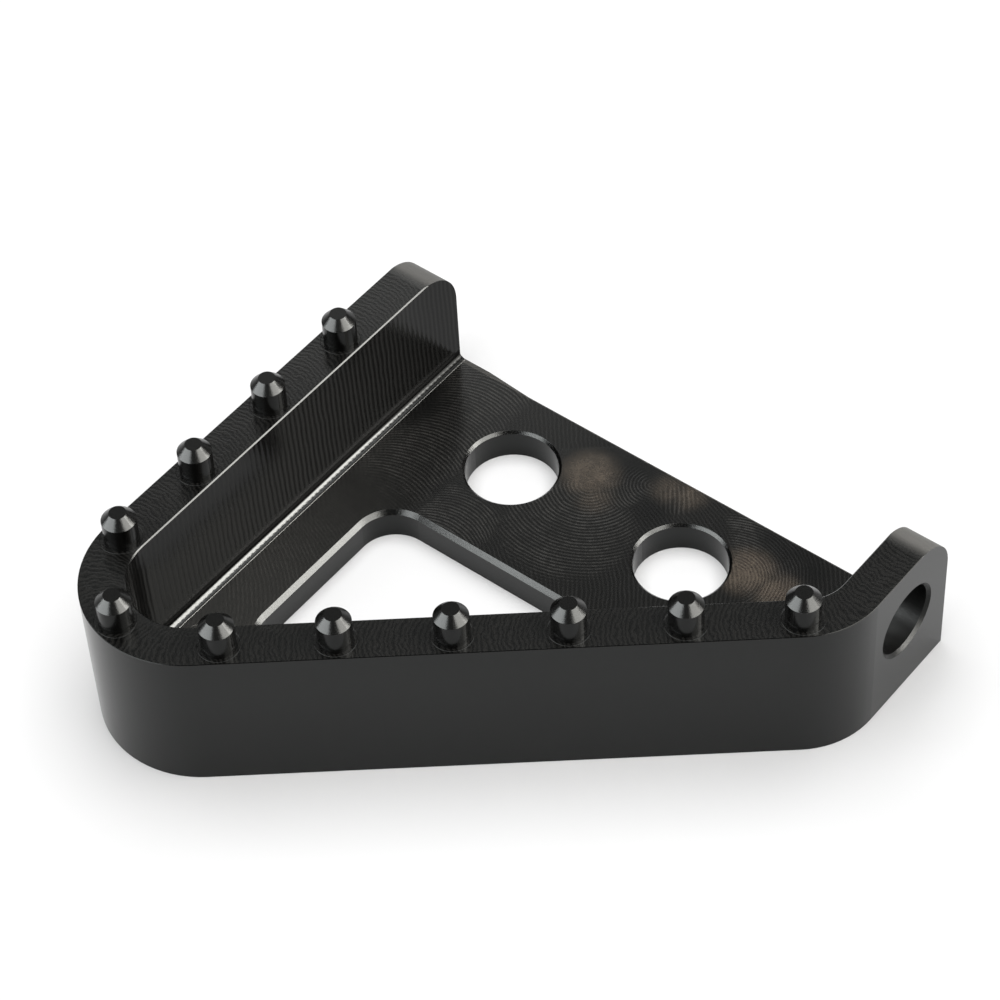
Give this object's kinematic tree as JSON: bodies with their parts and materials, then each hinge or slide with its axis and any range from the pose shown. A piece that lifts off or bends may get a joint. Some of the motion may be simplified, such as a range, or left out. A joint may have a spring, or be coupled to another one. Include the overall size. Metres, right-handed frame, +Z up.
{
  "type": "brake pedal extension",
  "caption": "Triangular machined step plate for a brake pedal, with a raised wall carrying grip pins, a cut-out, round holes and an ear with a mounting hole.",
  "frame": {"origin": "centre of the footprint's box, on the flat underside", "axes": "+X along the straight back edge towards the ear, +Y from the front wall towards the back edge, +Z up from the underside towards the grip pins"},
  "size_m": [0.0568, 0.051, 0.0182],
  "materials": {
    "black_anodised": "black anodised, fine milling marks, satin"
  },
  "bodies": {
    "root": {"step_plate": "black_anodised"}
  },
  "joints": []
}
